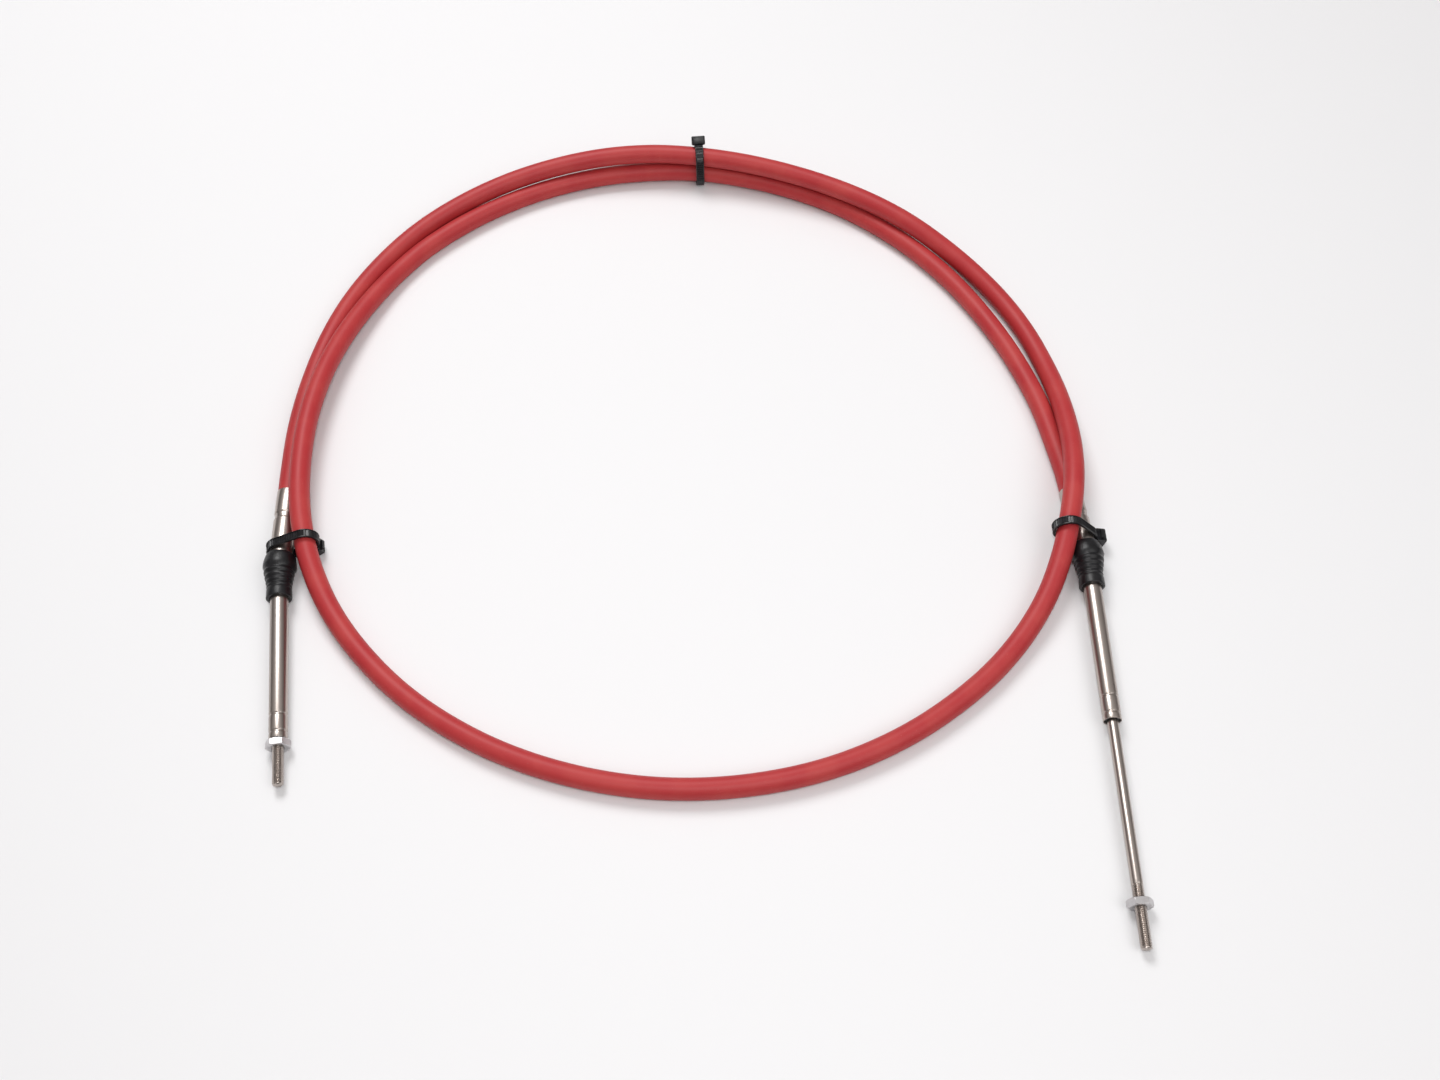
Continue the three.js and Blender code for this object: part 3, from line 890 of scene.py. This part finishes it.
def addHead(bm, layer, circles, degrees):
    angle = math.radians(degrees)
    way = Vector((math.cos(angle), math.sin(angle)))
    middle, radius = outermost(circles, way)
    seat = middle + way * (radius + tie["slack"] * mm)
    size = Vector(tie["head"]) * mm
    turned = Matrix.Translation((seat.x, seat.y, 0)) @ Matrix.Rotation(angle, 4, "Z")
    block = bmesh.ops.create_cube(bm, size=1)["verts"]
    bmesh.ops.scale(bm, vec=size, verts=block)
    bmesh.ops.translate(bm, vec=(size.x / 2, 0, 0), verts=block)
    faces = list({face for vert in block for face in vert.link_faces})
    # The tail leaves through a slot, and the catch shows in a recess on the crown.
    crown = max(faces, key=lambda face: face.calc_center_median().x)
    mouth = max(faces, key=lambda face: face.calc_center_median().y)
    for face, (margin, sink) in ((crown, tie["crownRecess"]), (mouth, tie["mouthRecess"])):
        bmesh.ops.inset_individual(bm, faces=[face], thickness=margin * mm, depth=0)
        bmesh.ops.translate(bm, vec=-face.normal * sink * mm, verts=face.verts)
    rims = [edge for edge in {edge for vert in block for edge in vert.link_edges}
            if all(vert in block for vert in edge.verts)]
    bmesh.ops.bevel(bm, geom=rims, offset=tie["headBevel"] * mm, segments=3, profile=0.5,
                    affect="EDGES", material=-1)
    head = [vert for vert in bm.verts if not vert[layer].length]
    stub = bmesh.ops.create_cube(bm, size=1)["verts"]
    bmesh.ops.scale(bm, vec=(tie["thickness"] * mm, tie["tail"] * mm, tie["width"] * mm), verts=stub)
    beyond = (size.y + tie["tail"] * mm) / 2 - tie["tailInHead"] * mm
    bmesh.ops.translate(bm, vec=(size.x / 2, beyond, 0), verts=stub)
    for vert in head + stub:
        vert[layer] = vert.co
    bmesh.ops.transform(bm, matrix=turned, verts=head + stub)


def makeTie(name):
    facts = ties[name]
    yaw = math.radians(facts["yaw"])
    circles = []
    if "end" in facts:
        end = ends[facts["end"]]
        middle = hubPlace(end) @ Vector((0, -facts["fromJacket"] * mm, 0))
        place = standing(yaw, middle)
        way = place.inverted().to_3x3() @ (hubPlace(end).to_3x3() @ Vector((0, -1, 0)))
        circles.append(roundPiece(place.inverted() @ middle, way, hub["radius"] * mm))
    else:
        middle = stationPlace(facts["turn"], facts["radius"], 0)
        place = standing(math.radians(facts["turn"] + 180) + yaw, middle)
    circles += strandsThrough(place)
    bm = bmesh.new()
    layer = bm.verts.layers.float_vector.new("grain")
    addStrap(bm, layer, circles)
    addHead(bm, layer, circles, facts["head"])
    bmesh.ops.recalc_face_normals(bm, faces=bm.faces)
    piece = makePiece(f"{name}_strap", bm, place, nylon, 40)
    return settle(piece, name, "root")


straps = [makeTie(name) for name in ties]
print("ties ready")

fittings + straps


# Floor and light

studio = {
    "floor": 6,                       # metres across
    "floorColor": (0.80, 0.80, 0.81, 1),
    "skyTop": (0.72, 0.70, 0.69),
    "skyMiddle": (0.33, 0.305, 0.30),
    "skyLow": (0.03, 0.026, 0.026),
    "skyStrength": 0.75,
}

lamps = {
    "key": {"place": (-0.35, 0.75, 1.3), "aim": (0, 0, 0), "size": 0.75, "watts": 13},
    "fill": {"place": (0.9, -0.8, 1.5), "aim": (0, 0, 0), "size": 1.4, "watts": 9},
    "flash": {"place": (0.015, -0.36, 0.70), "aim": (0, 0, 0), "size": 0.05, "watts": 1.2},
}


def makeFloor():
    bm = bmesh.new()
    bmesh.ops.create_grid(bm, x_segments=1, y_segments=1, size=studio["floor"] / 2)
    mesh = bpy.data.meshes.new("floor")
    bm.to_mesh(mesh)
    bm.free()
    floor = bpy.data.objects.new("floor", mesh)
    bpy.context.scene.collection.objects.link(floor)
    constants = {"Base Color": studio["floorColor"], "Roughness": 0.75, "Specular IOR Level": 0.2}
    mesh.materials.append(makeMaterial("floor", constants, lambda wire: {}))


def makeSky():
    world = bpy.data.worlds.new("sky")
    bpy.context.scene.world = world
    world.use_nodes = True
    tree = world.node_tree
    background = tree.nodes["Background"]
    background.inputs["Strength"].default_value = studio["skyStrength"]
    wire = Wire(tree)
    direction = wire.add("ShaderNodeTexCoord")
    height = wire.add("ShaderNodeSeparateXYZ", None, {"Vector": direction}, output=2)
    stops = [(0.0, studio["skyLow"]), (0.35, studio["skyMiddle"]), (0.85, studio["skyTop"])]
    color = wire.add("ShaderNodeValToRGB", {"stops": stops}, {"Fac": height})
    tree.links.new(color.socket, background.inputs["Color"])


def makeLamp(name):
    facts = lamps[name]
    data = bpy.data.lights.new(name, "AREA")
    data.shape = "DISK"
    data.size = facts["size"]
    data.energy = facts["watts"]
    lamp = bpy.data.objects.new(name, data)
    lamp.location = facts["place"]
    way = Vector(facts["aim"]) - Vector(facts["place"])
    lamp.rotation_euler = way.to_track_quat("-Z", "Y").to_euler()
    bpy.context.scene.collection.objects.link(lamp)


makeFloor()
makeSky()
for name in lamps:
    makeLamp(name)
bpy.context.scene.view_settings.view_transform = "Standard"
print("studio ready")
